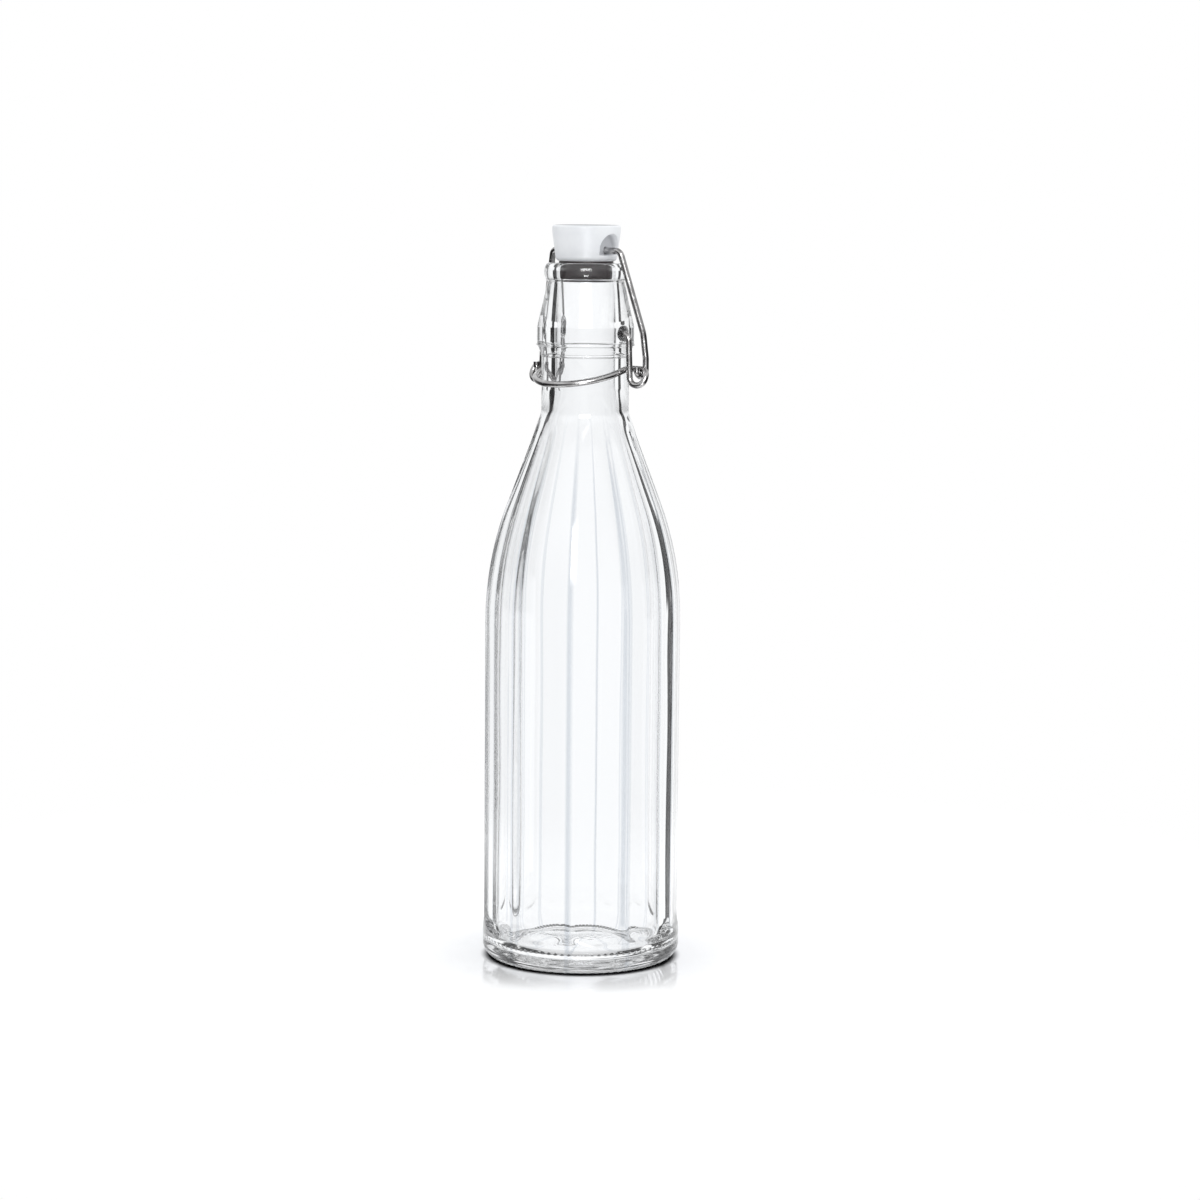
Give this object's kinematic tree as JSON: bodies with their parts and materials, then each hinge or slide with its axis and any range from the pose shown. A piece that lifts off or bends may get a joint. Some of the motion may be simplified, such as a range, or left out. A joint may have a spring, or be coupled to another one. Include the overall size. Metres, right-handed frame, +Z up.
{
  "type": "swing top bottle",
  "caption": "Clear glass bottle with a flat-sided body and a wire swing-top closure that lifts a white stopper and its rubber seal out of the mouth.",
  "frame": {"origin": "centre of the foot, on the surface that the bottle stands on", "axes": "+Z up along the bottle's axis, +X along the lever's pivot axis, -Y towards the front, where the handle lies against the neck"},
  "size_m": [0.07, 0.07, 0.26],
  "materials": {
    "clear_glass": "clear, fire polished",
    "white_plastic": "satin gloss",
    "grey_rubber": "smooth moulded",
    "steel_wire": "drawn wire"
  },
  "bodies": {
    "bottle": {"glass_bottle": "clear_glass"},
    "lever": {"lever_wire": "steel_wire"},
    "bail": {"bail_wire": "steel_wire"},
    "closure": {"stopper": "white_plastic", "seal_ring": "grey_rubber"}
  },
  "joints": [
    {"name": "lever_pivot", "type": "hinge", "parent": "bottle", "child": "lever", "pos_m": [0, 0, 0.2225], "axis": [-1, 0, 0], "range_deg": [0, 93]},
    {"name": "bail_pivot", "type": "hinge", "parent": "lever", "child": "bail", "pos_m": [0, 0.0028, 0.2103], "axis": [-1, 0, 0], "range_deg": [-66.6, 0]},
    {"name": "stopper_pivot", "type": "hinge", "parent": "bail", "child": "closure", "pos_m": [0, 0, 0.251], "axis": [-1, 0, 0], "range_deg": [-26.6, 0]}
  ],
  "couplings": [
    {"joint": "bail_pivot", "follows": "lever_pivot", "ratio": -0.715},
    {"joint": "stopper_pivot", "follows": "lever_pivot", "ratio": -0.285}
  ]
}
